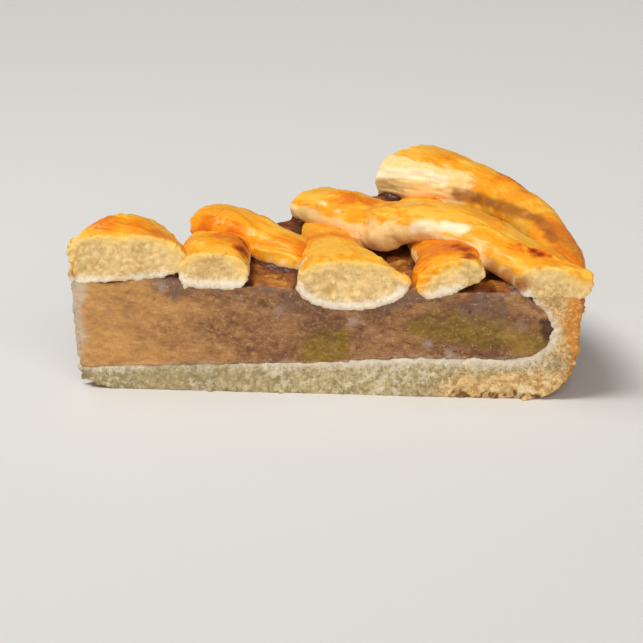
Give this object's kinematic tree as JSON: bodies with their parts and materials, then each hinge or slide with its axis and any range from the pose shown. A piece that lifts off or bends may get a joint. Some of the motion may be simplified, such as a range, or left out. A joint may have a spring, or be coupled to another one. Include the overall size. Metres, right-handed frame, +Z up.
{
  "type": "lattice apple pie slice",
  "caption": "Wedge of deep apple pie with a shortcrust base and wall, apple filling and a glazed woven lattice top.",
  "frame": {"origin": "on the flat underside of the base, below the middle of the slice", "axes": "+Z up, +X along the near cut from the slice's point towards the rim, +Y from the near cut towards the far cut"},
  "size_m": [0.1323, 0.0922, 0.0471],
  "materials": {
    "crust": "pale crumbly shortcrust, browned on the outside",
    "filling": "moist cinnamon-brown apple compote",
    "apple": "soft cooked apple, moist and a little see-through",
    "lattice": "egg-glazed golden pastry, pale and crumbly where it is cut"
  },
  "bodies": {
    "root": {"crust_shell": "crust", "apple_filling": "filling", "apple_piece_round": "apple", "apple_piece_long": "apple", "apple_piece_far_inner": "apple", "apple_piece_far_outer": "apple", "tip_strip": "lattice", "short_strip": "lattice", "long_strip": "lattice", "cross_strip_point": "lattice", "cross_strip_middle": "lattice", "cross_strip_rim": "lattice", "rim_strip": "lattice"}
  },
  "joints": []
}
